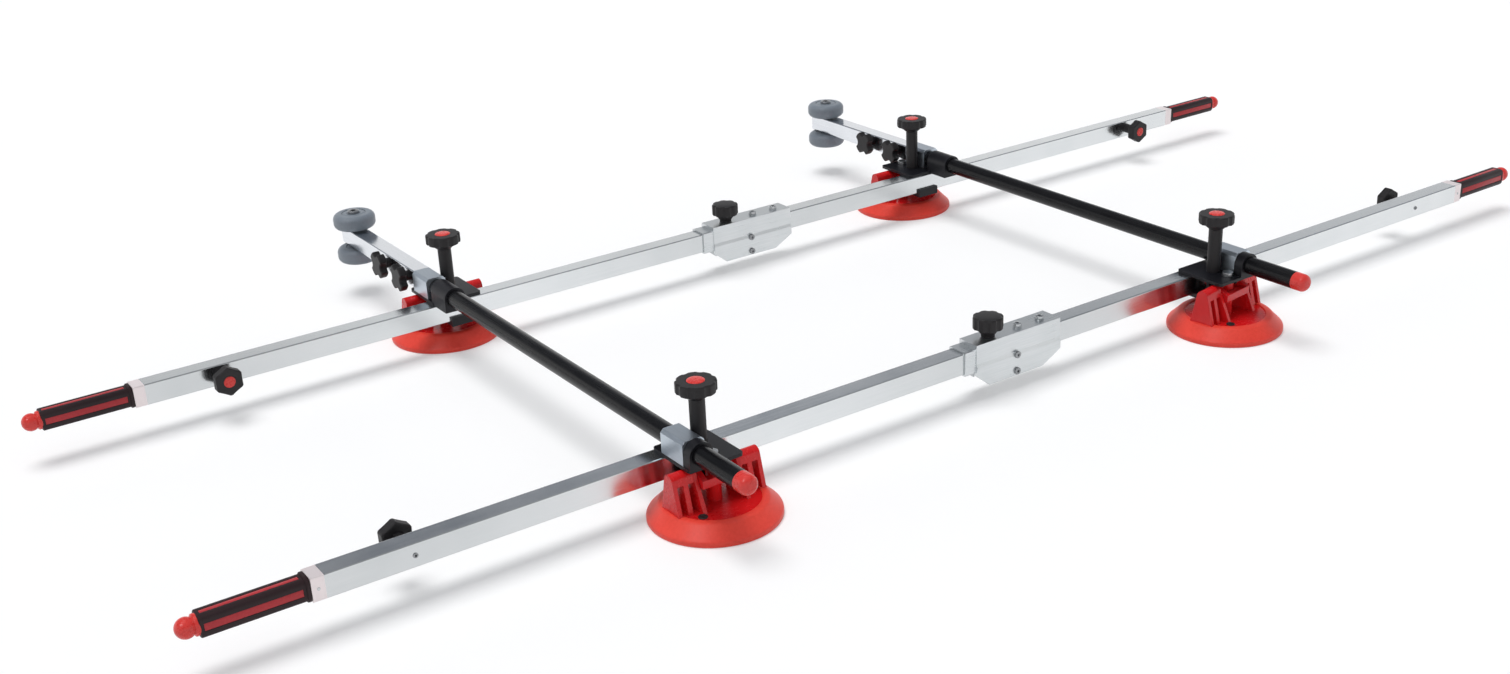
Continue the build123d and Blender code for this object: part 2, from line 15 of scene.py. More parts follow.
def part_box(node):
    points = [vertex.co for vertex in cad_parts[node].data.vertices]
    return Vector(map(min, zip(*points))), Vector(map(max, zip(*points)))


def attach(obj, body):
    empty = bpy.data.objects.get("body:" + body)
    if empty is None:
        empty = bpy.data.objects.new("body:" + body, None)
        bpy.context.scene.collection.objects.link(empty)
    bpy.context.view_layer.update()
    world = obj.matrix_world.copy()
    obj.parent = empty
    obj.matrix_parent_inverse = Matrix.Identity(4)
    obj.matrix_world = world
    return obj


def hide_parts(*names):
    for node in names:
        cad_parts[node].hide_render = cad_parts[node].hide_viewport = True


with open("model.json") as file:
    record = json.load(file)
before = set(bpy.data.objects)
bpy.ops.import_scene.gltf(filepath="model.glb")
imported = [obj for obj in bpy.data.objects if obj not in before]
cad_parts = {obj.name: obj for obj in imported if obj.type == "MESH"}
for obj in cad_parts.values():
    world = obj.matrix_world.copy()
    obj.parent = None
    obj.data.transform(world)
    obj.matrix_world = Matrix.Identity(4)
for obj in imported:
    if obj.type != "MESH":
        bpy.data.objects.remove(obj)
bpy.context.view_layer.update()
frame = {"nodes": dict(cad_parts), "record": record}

nodes = frame["nodes"]
sides = ("near", "far")
ends = ("left", "right")
corners = [f"{side}_{end}" for side in sides for end in ends]

# %% [markdown]
# The camera stands where the photograph was taken from. Its place, turn and lens were worked out from the
# round cups and the straight rails, so that a point of the model lands on the same point of the picture.

# %% Camera
camera_place = Vector((-1.3420, -1.7354, 0.9024))
camera_azimuth = math.radians(33.864)
camera_elevation = math.radians(22.853)
camera_roll = math.radians(2.667)
film_width = 36.0
focal_length = 41.2

lens = bpy.data.cameras.new("studio_lens")
lens.sensor_fit = "HORIZONTAL"
lens.sensor_width = film_width
lens.lens = focal_length
camera = bpy.data.objects.new("studio_camera", lens)
bpy.context.scene.collection.objects.link(camera)
turn = Matrix.Rotation(-camera_azimuth, 4, "Z")
turn = turn @ Matrix.Rotation(math.pi / 2 - camera_elevation, 4, "X")
turn = turn @ Matrix.Rotation(-camera_roll, 4, "Z")
camera.matrix_world = Matrix.Translation(camera_place) @ turn
bpy.context.scene.camera = camera
bpy.context.scene.view_settings.view_transform = "Standard"
print("camera looks along", -turn.col[2].to_3d())

# %% [markdown]
# Four small helpers keep the node trees short: `add` makes one shader node and sets its inputs by name,
# `join` links an output to an input, `calculate` is a math node whose inputs are numbers or outputs, and
# `colour_stops` is a colour ramp.

# %% Node helpers
def add(tree, kind, **inputs):
    """Add a shader node to a tree and set its inputs by name."""
    made = tree.nodes.new("ShaderNode" + kind)
    for name, value in inputs.items():
        made.inputs[name.replace("_", " ")].default_value = value
    return made


def join(tree, source, target):
    tree.links.new(source, target)


def calculate(tree, operation, *values):
    """A math node whose inputs are numbers or other outputs."""
    made = tree.nodes.new("ShaderNodeMath")
    made.operation = operation
    for socket, value in zip(made.inputs, values):
        if isinstance(value, (int, float)):
            socket.default_value = value
        else:
            join(tree, value, socket)
    return made.outputs["Value"]


def colour_stops(tree, stops):
    """A colour ramp from a list of (position, colour) stops."""
    ramp = add(tree, "ValToRGB")
    elements = ramp.color_ramp.elements
    while len(elements) < len(stops):
        elements.new(0.5)
    for element, (position, colour) in zip(elements, stops):
        element.position = position
        element.color = (*colour, 1.0)
    return ramp


print("node helpers ready")

# %% [markdown]
# The floor is a plain pale sheet. A quarter of its white is its own light, seen by the camera and in
# reflections, and the rest is lit, so that soft grey shadows stay under the rails and the cups. A sheet
# that only glowed would be whiter still, but the frame would seem to float above it.

# %% Floor
floor_half = 15.0
floor_glow = 0.27
floor_lit = 0.73

floor_sheet = bmesh.new()
bmesh.ops.create_grid(floor_sheet, x_segments=2, y_segments=2, size=floor_half)
floor_mesh = bpy.data.meshes.new("floor")
floor_sheet.to_mesh(floor_mesh)
floor_sheet.free()
floor = bpy.data.objects.new("floor", floor_mesh)
bpy.context.scene.collection.objects.link(floor)

floor_paint = bpy.data.materials.new("pale_floor")
floor_paint.use_nodes = True
tree = floor_paint.node_tree
tree.nodes.remove(tree.nodes["Principled BSDF"])
rays = add(tree, "LightPath")
seen = calculate(tree, "MAXIMUM", rays.outputs["Is Camera Ray"], rays.outputs["Is Glossy Ray"])
seen = calculate(tree, "MAXIMUM", seen, rays.outputs["Is Transmission Ray"])
glow = add(tree, "Emission", Color=(1.0, 1.0, 1.0, 1.0))
join(tree, calculate(tree, "MULTIPLY", seen, floor_glow), glow.inputs["Strength"])
lit = add(tree, "BsdfDiffuse", Color=(floor_lit, floor_lit, floor_lit, 1.0))
both = add(tree, "AddShader")
join(tree, glow.outputs[0], both.inputs[0])
join(tree, lit.outputs[0], both.inputs[1])
join(tree, both.outputs[0], tree.nodes["Material Output"].inputs["Surface"])
floor_mesh.materials.append(floor_paint)
print("floor", 2 * floor_half, "m square")

# %% [markdown]
# The light is one wide soft source almost straight above, a little behind: the narrow grey shadows under
# the rails and bars say so. In a mirror it would blow out every bright top seen from above, so it is left
# out of reflections, and a small lamp from the left that lights nothing else gives round plastic its
# highlights.

# %% Lamps
def hang_lamp(name, energy, spread, tilt):
    """A far lamp. Its spread, which softens shadows, and its tilt are in degrees."""
    light = bpy.data.lights.new(name, "SUN")
    light.energy = energy
    light.angle = math.radians(spread)
    lamp = bpy.data.objects.new(name, light)
    lamp.rotation_euler = [math.radians(degrees) for degrees in tilt]
    bpy.context.scene.collection.objects.link(lamp)
    return lamp


key = hang_lamp("overhead_light", energy=1.95, spread=36, tilt=(-12, -5, 0))
key.visible_glossy = False
spark = hang_lamp("highlight_light", energy=0.7, spread=16, tilt=(0, -36, 12))
spark.visible_diffuse = False
print("lamps", key.name, "and", spark.name)

# %% [markdown]
# Around the frame stands a square studio with white walls and a blue-grey ceiling. A ray meets the wall it
# faces most directly, so its height there is its rise over that distance. Bright metal shows the change
# from wall to ceiling: pale tops on the far rail, darker ones on the near rail. A few nodes draw this room,
# and no picture is needed for it.

# %% Studio
wall_turn = math.radians(15)
wall_colours = [
    (0.00, (1.00, 1.00, 1.00)),
    (0.34, (0.95, 0.95, 0.95)),
    (0.385, (0.88, 0.89, 0.90)),
    (0.415, (0.56, 0.58, 0.61)),
    (0.44, (0.25, 0.27, 0.31)),
    (0.48, (0.17, 0.185, 0.22)),
    (0.62, (0.19, 0.205, 0.235)),
    (0.76, (0.30, 0.31, 0.33)),
    (1.00, (0.46, 0.46, 0.47)),
]

studio = bpy.data.worlds.new("studio")
studio.use_nodes = True
bpy.context.scene.world = studio
tree = studio.node_tree
heading = add(tree, "TexCoord")
square_room = add(tree, "Mapping", Rotation=(0, 0, wall_turn))
split = add(tree, "SeparateXYZ")
join(tree, heading.outputs["Generated"], square_room.inputs["Vector"])
join(tree, square_room.outputs["Vector"], split.inputs[0])
rise = split.outputs["Z"]
sideways = [calculate(tree, "ABSOLUTE", split.outputs[axis]) for axis in "XY"]
reach = calculate(tree, "MAXIMUM", *sideways)
slant = calculate(tree, "MULTIPLY_ADD", reach, reach, calculate(tree, "MULTIPLY", rise, rise))
height = calculate(tree, "DIVIDE", rise, calculate(tree, "SQRT", slant))
walls = colour_stops(tree, wall_colours)
join(tree, height, walls.inputs["Fac"])
join(tree, walls.outputs["Color"], tree.nodes["Background"].inputs["Color"])
print("studio with", len(wall_colours), "heights of wall and ceiling")

# %% [markdown]
# Painted edges wear first. `rub_edges` finds them without any painting by hand: where the surface normal,
# rounded as by a small bevel, leaves the plain one, there is an edge, and `mix` blends a lighter colour in.
# The mix node keeps sockets for numbers and for colours side by side, so a table says which ones to use.

# %% Mixing and rubbing
mix_sockets = {"FLOAT": ((0, 2, 3), 0), "RGBA": ((0, 6, 7), 2)}
edge_begins = 0.99
edge_full = 0.80
rub_strength = 0.5


def mix(tree, kind, factor, first, second, blend="MIX"):
    """A mix of two numbers (FLOAT) or two colours (RGBA), each a value or an output."""
    made = tree.nodes.new("ShaderNodeMix")
    made.data_type = kind
    made.blend_type = blend
    inputs, result = mix_sockets[kind]
    for index, value in zip(inputs, (factor, first, second)):
        if isinstance(value, bpy.types.NodeSocket):
            join(tree, value, made.inputs[index])
        else:
            made.inputs[index].default_value = value
    return made.outputs[result]


def rub_edges(tree, rounded, colour, rubbed):
    """Mix in a rubbed colour where the rounded normal leaves the plain one."""
    surface = add(tree, "NewGeometry")
    likeness = tree.nodes.new("ShaderNodeVectorMath")
    likeness.operation = "DOT_PRODUCT"
    join(tree, rounded.outputs["Normal"], likeness.inputs[0])
    join(tree, surface.outputs["Normal"], likeness.inputs[1])
    on_edge = add(
        tree, "MapRange", From_Min=edge_begins, From_Max=edge_full, To_Min=0.0, To_Max=rub_strength,
    )
    join(tree, likeness.outputs["Value"], on_edge.inputs["Value"])
    return mix(tree, "RGBA", on_edge.outputs["Result"], colour, (*rubbed, 1.0))


print("mixing and rubbing ready")

# %% [markdown]
# Every finish starts from one recipe. A fine grain and a slow cloud shift the colour and the gloss
# together, and the grain gives the relief. Edges catch light as if rounded by about half a millimetre. All
# of it is drawn on Object coordinates, so it stays with the piece, and the grain is stretched where a real
# surface has a direction. Pictures could do the same, but would need an unwrapped mesh for every solid.

# %% Finish recipe
grain_low = 0.35
grain_high = 0.65
grain_share = 0.5
cloud_share = 0.5
cloud_scale = 16.0
edge_samples = 6
relief_depth = 0.0002


def finish(name, dark, light, rough, grain, relief, metal=0.0, edge=0.0006, shine=0.5, rubbed=None):
    """A material with a grain between two colours and two roughnesses, and softened edges, rubbed where a
    rubbed colour is given.
    """
    material = bpy.data.materials.new(name)
    material.use_nodes = True
    tree = material.node_tree
    shader = tree.nodes["Principled BSDF"]
    shader.inputs["Metallic"].default_value = metal
    shader.inputs["Specular IOR Level"].default_value = shine
    place = add(tree, "TexCoord")
    stretch = add(tree, "Mapping", Scale=grain)
    fine = add(tree, "TexNoise", Scale=1.0, Detail=3.0, Roughness=0.6)
    cloud = add(tree, "TexNoise", Scale=cloud_scale, Detail=2.0, Roughness=0.5)
    join(tree, place.outputs["Object"], stretch.inputs["Vector"])
    join(tree, stretch.outputs["Vector"], fine.inputs["Vector"])
    join(tree, place.outputs["Object"], cloud.inputs["Vector"])
    fine_part = calculate(tree, "MULTIPLY", fine.outputs["Fac"], grain_share)
    blend = calculate(tree, "MULTIPLY_ADD", cloud.outputs["Fac"], cloud_share, fine_part)
    tint = colour_stops(tree, [(grain_low, dark), (grain_high, light)])
    join(tree, blend, tint.inputs["Fac"])
    rounded = add(tree, "Bevel", Radius=edge)
    rounded.samples = edge_samples
    colour = tint.outputs["Color"]
    if rubbed:
        colour = rub_edges(tree, rounded, colour, rubbed)
    join(tree, colour, shader.inputs["Base Color"])
    gloss = add(tree, "MapRange", From_Min=grain_low, From_Max=grain_high, To_Min=rough[0], To_Max=rough[1])
    join(tree, blend, gloss.inputs["Value"])
    join(tree, gloss.outputs["Result"], shader.inputs["Roughness"])
    bump = add(tree, "Bump", Strength=relief, Distance=relief_depth)
    join(tree, fine.outputs["Fac"], bump.inputs["Height"])
    join(tree, rounded.outputs["Normal"], bump.inputs["Normal"])
    join(tree, bump.outputs["Normal"], shader.inputs["Normal"])
    return material


print("finish recipe ready")

# %% [markdown]
# Some solids join two stuffs, such as a tube and its bush. Their faces could take a second material, but
# the imported meshes are left as they are, so `second_zone` changes the finish where a coordinate of the
# piece passes a limit. The second helper paints reflected light into the colour of a long piece: its
# brightness rises and falls from end to end, as the reflections seen in it do.

# %% Zones and painted reflection
def coordinate(tree, axis):
    """One of the piece's own coordinates."""
    place = add(tree, "TexCoord")
    parts = add(tree, "SeparateXYZ")
    join(tree, place.outputs["Object"], parts.inputs[0])
    return parts.outputs[axis]


def second_zone(material, axis, limit, colour, rough, metal, both_ends=False):
    """Where a coordinate passes a limit, the solid is made of another stuff."""
    tree = material.node_tree
    shader = tree.nodes["Principled BSDF"]
    along = coordinate(tree, axis)
    if both_ends:
        along = calculate(tree, "ABSOLUTE", along)
    beyond = calculate(tree, "GREATER_THAN", along, limit)
    changes = (
        ("Base Color", "RGBA", (*colour, 1.0)),
        ("Roughness", "FLOAT", rough),
        ("Metallic", "FLOAT", metal),
    )
    for name, kind, value in changes:
        socket = shader.inputs[name]
        before = socket.links[0].from_socket if socket.is_linked else socket.default_value
        join(tree, mix(tree, kind, beyond, before, value), socket)


def painted_reflection_drift(material, axis, reach, levels):
    """Paint reflected light along a piece as brightness levels, evenly spaced from one end to the other."""
    tree = material.node_tree
    base = tree.nodes["Principled BSDF"].inputs["Base Color"]
    span = add(tree, "MapRange", From_Min=-reach, From_Max=reach)
    join(tree, coordinate(tree, axis), span.inputs["Value"])
    last = len(levels) - 1
    ramp = colour_stops(tree, [(index / last, (level, level, level)) for index, level in enumerate(levels)])
    ramp.color_ramp.interpolation = "B_SPLINE"
    join(tree, span.outputs["Result"], ramp.inputs["Fac"])
    with_painted_reflection = mix(tree, "RGBA", 1.0, base.links[0].from_socket, ramp.outputs["Color"], "MULTIPLY")
    join(tree, with_painted_reflection, base)


print("zones and drift ready")

# %% [markdown]
# The rails are drawn aluminium tube, polished bright, with fine die lines running along them. Their colour
# carries painted reflection: its brightness rises and falls slowly over the length, as the reflections seen
# in the rails do. Each ends in a pale bush, the last 14 mm, which is part of the same solid and so is told
# apart by its place. The splices, tubes, sleeves and arms are the same metal with other finishes, and the
# screws are steel, some bright and some dark.

# %% Bright metals
steel_colour = (0.56, 0.57, 0.58)
bush_start = 0.888
bush_colour = (0.90, 0.81, 0.81)
rail_reach = 0.9
# Levels of painted reflection: the rails' colour is made brighter and darker along X, as their reflections
# are.
rail_painted_reflection_levels = (0.74, 0.76, 1.0, 0.84, 0.74, 0.78, 0.90, 0.90, 0.88)

rail_metal = finish(
    "rail_metal", (0.78, 0.81, 0.82), (0.86, 0.88, 0.89), rough=(0.15, 0.24), grain=(6, 900, 900),
    relief=0.08, metal=1.0, edge=0.00025,
)
# Paint the rails' reflections into their colour, brighter and darker along their length.
painted_reflection_drift(rail_metal, "X", rail_reach, rail_painted_reflection_levels)
second_zone(rail_metal, "X", bush_start, bush_colour, rough=0.30, metal=0.45, both_ends=True)
splice_metal = finish(
    "splice_metal", (0.60, 0.63, 0.64), (0.70, 0.72, 0.73), rough=(0.26, 0.36), grain=(20, 700, 700),
    relief=0.08, metal=1.0, edge=0.00025,
)
tube_metal = finish(
    "tube_metal", (0.62, 0.63, 0.65), (0.72, 0.73, 0.74), rough=(0.24, 0.34), grain=(6, 900, 900),
    relief=0.08, metal=1.0,
)
sleeve_metal = finish(
    "sleeve_metal", (0.50, 0.56, 0.62), (0.60, 0.66, 0.72), rough=(0.32, 0.44), grain=(500, 60, 500),
    relief=0.08, metal=1.0,
)
arm_metal = finish(
    "arm_metal", (0.70, 0.72, 0.75), (0.80, 0.82, 0.85), rough=(0.13, 0.20), grain=(700, 8, 700),
    relief=0.02, metal=1.0,
)
bolt_steel = finish(
    "bolt_steel", (0.50, 0.52, 0.53), (0.62, 0.64, 0.65), rough=(0.26, 0.36), grain=(900, 900, 900),
    relief=0.08, metal=1.0, edge=0.0003,
)
screw_steel = finish(
    "screw_steel", (0.22, 0.23, 0.24), (0.38, 0.39, 0.40), rough=(0.28, 0.40), grain=(900, 900, 900),
    relief=0.1, metal=1.0, edge=0.0003,
)
print("bright metals ready")

# %% [markdown]
# The bars and clamps are steel and castings in satin black, with the faint orange-peel of powder coat and
# edges rubbed to grey. A bar's far end holds the bright spigot that carries the wheel arm: again one
# solid group, two stuffs. The grips and the vent valves are soft rubber, a warmer black.

# %% Black finishes
bar_spigot_start = 0.3371
rubbed_grey = (0.08, 0.08, 0.085)

clamp_black = finish(
    "clamp_black", (0.005, 0.005, 0.007), (0.011, 0.011, 0.015), rough=(0.34, 0.48), grain=(420, 420, 420),
    relief=0.25, shine=0.3, rubbed=rubbed_grey,
)
bar_black = finish(
    "bar_black", (0.004, 0.004, 0.005), (0.009, 0.009, 0.010), rough=(0.22, 0.30), grain=(500, 25, 500),
    relief=0.12, shine=0.22,
)
second_zone(bar_black, "Y", bar_spigot_start, steel_colour, rough=0.3, metal=1.0)
knob_plastic = finish(
    "knob_plastic", (0.012, 0.011, 0.012), (0.024, 0.022, 0.023), rough=(0.40, 0.54),
    grain=(1100, 1100, 1100), relief=0.3, shine=0.3, rubbed=rubbed_grey,
)
grip_rubber = finish(
    "grip_rubber", (0.014, 0.006, 0.008), (0.028, 0.012, 0.014), rough=(0.46, 0.60), grain=(900, 900, 900),
    relief=0.35, shine=0.3,
)
valve_rubber = finish(
    "valve_rubber", (0.012, 0.008, 0.008), (0.020, 0.014, 0.014), rough=(0.45, 0.60), grain=(900, 900, 900),
    relief=0.2,
)
print("black finishes ready")

# %% [markdown]
# Reds: glossy moulded plastic for the cup bodies, levers, knob caps and ball ends, a softer, lighter red
# rubber for the pads, and a deeper red for the bands of the grips. The swivel bolt belongs to the cup's
# solid and shows above the clamp plate, so height tells the steel from the plastic. The wheels are grey
# moulded plastic.

# %% Reds and greys
cup_bolt_start = 0.0671

cup_plastic = finish(
    "cup_plastic", (0.65, 0.009, 0.011), (0.71, 0.013, 0.015), rough=(0.22, 0.30), grain=(160, 160, 160),
    relief=0.01, edge=0.0008, shine=0.4,
)
second_zone(cup_plastic, "Z", cup_bolt_start, steel_colour, rough=0.3, metal=1.0)
lever_plastic = finish(
    "lever_plastic", (0.65, 0.009, 0.013), (0.71, 0.013, 0.017), rough=(0.20, 0.28), grain=(160, 160, 160),
    relief=0.01, edge=0.0008, shine=0.4,
)
cap_plastic = finish(
    "cap_plastic", (0.67, 0.038, 0.032), (0.73, 0.050, 0.042), rough=(0.24, 0.32), grain=(300, 300, 300),
    relief=0.02, edge=0.0005, shine=0.4,
)
stripe_red = finish(
    "stripe_red", (0.40, 0.022, 0.030), (0.50, 0.034, 0.042), rough=(0.36, 0.46), grain=(500, 500, 500),
    relief=0.10, edge=0.0003, shine=0.35,
)
pad_rubber = finish(
    "pad_rubber", (0.76, 0.050, 0.032), (0.86, 0.072, 0.048), rough=(0.36, 0.46), grain=(260, 260, 260),
    relief=0.10, shine=0.35,
)
wheel_plastic = finish(
    "wheel_plastic", (0.17, 0.20, 0.235), (0.23, 0.26, 0.295), rough=(0.36, 0.48), grain=(500, 500, 500),
    relief=0.12, edge=0.001, shine=0.4,
)
print("reds and greys ready")

# %% [markdown]
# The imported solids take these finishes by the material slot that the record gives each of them. A list of
# pieces would do as well, but one finish for each slot keeps pieces of the same stuff alike.

# %% Dress the solids
slot_finish = {
    "rail_aluminium": rail_metal,
    "splice_aluminium": splice_metal,
    "tube_aluminium": tube_metal,
    "sleeve_aluminium": sleeve_metal,
    "arm_aluminium": arm_metal,
    "fastener_steel": screw_steel,
    "clamp_black": clamp_black,
    "bar_black": bar_black,
    "knob_black": knob_plastic,
    "grip_black": grip_rubber,
    "cap_red": cap_plastic,
    "pad_red": pad_rubber,
    "body_red": cup_plastic,
    "lever_red": lever_plastic,
    "wheel_grey": wheel_plastic,
}
for subpart in frame["record"]["subparts"]:
    node = nodes[subpart["node"]]
    node.data.materials.clear()
    node.data.materials.append(slot_finish[subpart["material_slot"]])

# %% [markdown]
# New pieces share a few helpers. `turned` spins a half outline about the Z axis, as a lathe does, `gather`
# puts several shapes into one, and `place_piece` moves a shape to its place, makes it an object and ties it
# to the body it moves with. `set_order` sorts its points and faces first, so that every run writes the same
# mesh. `at` and `middle` say where a piece goes.

# %% Modelling helpers
mm = 0.001
lathe_steps = 64
weld_distance = 0.00001
smooth_limit = math.radians(35)


def turned(outline, steps=lathe_steps):
    """Spin a half outline of (radius, height) points in millimetres about Z."""
    shape = bmesh.new()
    points = [shape.verts.new((radius * mm, 0.0, height * mm)) for radius, height in outline]
    edges = [shape.edges.new(pair) for pair in zip(points, points[1:])]
    bmesh.ops.spin(
        shape, geom=points + edges, cent=(0, 0, 0), axis=(0, 0, 1),
        angle=2 * math.pi, steps=steps, use_merge=True,
    )
    bmesh.ops.remove_doubles(shape, verts=shape.verts, dist=weld_distance)
    return shape


def gather(placed_shapes):
    """One shape from several, each given with its place."""
    together = bmesh.new()
    for shape, where in placed_shapes:
        shape.transform(where)
        loose = bpy.data.meshes.new("loose_shape")
        shape.to_mesh(loose)
        shape.free()
        together.from_mesh(loose)
        bpy.data.meshes.remove(loose)
    return together


def set_order(items, place):
    """Number points or faces by their places, because extruding adds them in no fixed order."""
    for index, item in enumerate(sorted(items, key=place)):
        item.index = index
    items.sort()


def place_piece(shape, name, where, body, slot, *materials):
    """Move a shape to its place, make it an object and let it ride on a body."""
    shape.transform(where)
    bmesh.ops.recalc_face_normals(shape, faces=shape.faces)
    set_order(shape.verts, lambda vert: vert.co[:])
    set_order(shape.faces, lambda face: face.calc_center_median()[:])
    mesh = bpy.data.meshes.new(name)
    for face in shape.faces:
        face.smooth = True
    shape.to_mesh(mesh)
    shape.free()
    mesh.set_sharp_from_angle(angle=smooth_limit)
    for material in materials:
        mesh.materials.append(material)
    piece = bpy.data.objects.new(name, mesh)
    bpy.context.scene.collection.objects.link(piece)
    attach(piece, body)
    return piece


def at(x, y, z, direction=(0, 0, 1)):
    """The place of a shape that was made standing on the origin: where it goes and which way is up."""
    aim = Vector((0, 0, 1)).rotation_difference(Vector(direction)).to_matrix().to_4x4()
    return Matrix.Translation((x, y, z)) @ aim


def middle(node):
    low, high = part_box(node)
    return (low + high) / 2


print("modelling helpers ready")

# %% [markdown]
# The suction pad is one rubber moulding: a shallow chamber with a flat sealing ring, two fine grooves in
# that ring, a thick rounded rim, a skirt that slopes up past the deck's edge and a thin lip that laps over
# the deck. It could be built ring by ring, but all of it is round, so the lathe makes it in one spin.

# %% Suction pads
chamber = [(0.0, 2.5), (30.0, 2.5), (58.6, 2.5), (60.4, 1.8), (61.5, 0.7), (62.3, 0.15), (63.0, 0.0)]
sealing_ring = [
    (65.6, 0.0), (66.0, 0.5), (66.9, 0.5), (67.3, 0.0), (69.9, 0.0), (70.3, 0.5), (71.2, 0.5), (71.6, 0.0),
]
rim = [(73.6, 0.0), (74.5, 0.3), (75.0, 1.1), (75.0, 4.4), (74.8, 5.5), (74.2, 6.6), (73.3, 7.5)]
skirt = [(72.0, 8.7), (70.0, 10.6), (66.0, 14.6), (63.4, 17.3), (62.2, 18.6), (61.2, 19.6), (60.2, 20.35)]
lip = [(58.8, 20.9), (56.6, 21.3), (54.0, 21.5), (52.6, 21.4), (52.1, 21.1), (51.9, 20.6), (51.8, 19.9)]
deck_seat = [(59.9, 19.9), (59.9, 14.95), (40.0, 14.95), (0.0, 14.95)]
pad_outline = chamber + sealing_ring + rim + skirt + lip + deck_seat
pad_steps = 120
for corner in corners:
    centre = middle(f"{corner}_cup_pad")
    pad = place_piece(
        turned(pad_outline, pad_steps), f"{corner}_soft_pad", at(centre.x, centre.y, 0.0), f"{corner}_cup",
        "pad_red", pad_rubber,
    )
    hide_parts(f"{corner}_cup_pad")
print("pads", len(corners), "with", len(pad.data.polygons), "faces each")

# %% [markdown]
# Long pieces with an outline that is not round are extruded: `oval_start` makes a square and rounds its
# corners, and `push` grows a face along X and narrows or widens its far end. The edges go into the
# extrusion with the face, so that no wall is left inside the piece.

# %% Extruding helpers
oval_corner_segments = 8


def only(kind, items):
    """The items of one kind: vertices, edges or faces."""
    return [item for item in items if isinstance(item, kind)]


def oval_start(width, height, corner_radius):
    """A new shape that is one rounded rectangle facing X, and that face."""
    shape = bmesh.new()
    bmesh.ops.create_grid(shape, x_segments=1, y_segments=1, size=0.5)
    upright = Matrix.Rotation(math.pi / 2, 3, "Y")
    bmesh.ops.rotate(shape, verts=shape.verts, cent=(0, 0, 0), matrix=upright)
    bmesh.ops.scale(shape, vec=(1.0, width, height), verts=shape.verts)
    bmesh.ops.bevel(
        shape, geom=shape.verts[:], offset=corner_radius, segments=oval_corner_segments, profile=0.5,
        affect="VERTICES", material=-1,
    )
    shape.faces.ensure_lookup_table()
    return shape, shape.faces[0]


def push(shape, face, distance, scale):
    """Extrude a face along X and scale its far outline about its middle."""
    grown = bmesh.ops.extrude_face_region(shape, geom=[face, *face.edges])["geom"]
    far = only(bmesh.types.BMVert, grown)
    bmesh.ops.translate(shape, vec=(distance, 0, 0), verts=far)
    bmesh.ops.scale(shape, vec=(1, scale, scale), verts=far)
    return only(bmesh.types.BMFace, grown)[0]


print("extruding helpers ready")

# %% [markdown]
# A grip is an oval rubber sleeve behind a flange, with a narrow red band let into each of its four sides.
# Its four long flats are inset three times: a margin, a groove around the band, and the ridge of the red
# band. A painted stripe would look the same from afar, but the real band stands in a groove.

# %% Grip sleeve
grip_flange = (0.0260, 0.0280, 0.0040)
grip_sleeve = (0.0224, 0.0244, 0.1040)
grip_flange_corner = 0.0080
grip_sleeve_corner = 0.0056
flange_narrow = 0.95
flange_first_edge = 0.0006
flange_last_edge = 0.0008
grip_flat_start = 0.0005
grip_end_steps = ((0.0006, 0.98), (0.0004, 0.96), (0.0004, 0.93))
flat_least_area = 0.0003
flat_most_tilt = 0.1
margin = {"thickness": 0.0034, "depth": 0.0}
groove = {"thickness": 0.0005, "depth": -0.0005}
ridge = {"thickness": 0.0009, "depth": 0.0004}


def flange_shape():
    """The flange at the rail end, with softened edges, along X."""
    width, height, thickness = grip_flange
    narrowed = [size * flange_narrow for size in (width, height, grip_flange_corner)]
    flange, end = oval_start(*narrowed)
    end = push(flange, end, flange_first_edge, 1.0 / flange_narrow)
    end = push(flange, end, thickness - flange_first_edge - flange_last_edge, 1.0)
    push(flange, end, flange_last_edge, flange_narrow)
    return flange


def sleeve_shape():
    """The sleeve of a grip along X, with a band in each flat."""
    width, height, length = grip_sleeve
    sleeve, end = oval_start(width, height, grip_sleeve_corner)
    flat_length = length - grip_flat_start - sum(distance for distance, scale in grip_end_steps)
    for distance, scale in ((grip_flat_start, 1.0), (flat_length, 1.0), *grip_end_steps):
        end = push(sleeve, end, distance, scale)
    large = [face for face in sleeve.faces if face.calc_area() > flat_least_area]
    flats = [face for face in large if abs(face.normal.x) < flat_most_tilt]
    bmesh.ops.recalc_face_normals(sleeve, faces=sleeve.faces)
    for flat in flats:
        bmesh.ops.inset_region(sleeve, faces=[flat], **margin)
        bmesh.ops.inset_region(sleeve, faces=[flat], **groove)
        flat.material_index = 1
        bmesh.ops.inset_region(sleeve, faces=[flat], **ridge)
    return sleeve


print("grip of", grip_sleeve[2] / mm, "mm with a flange of", grip_flange[2] / mm, "mm")

# %% [markdown]
# A red ball closes each grip, on a collar as wide as the sleeve. Collar and ball are one outline for the
# lathe. Each grip then goes to the rail end that its solid gives, turned outward, and rides on its handle.

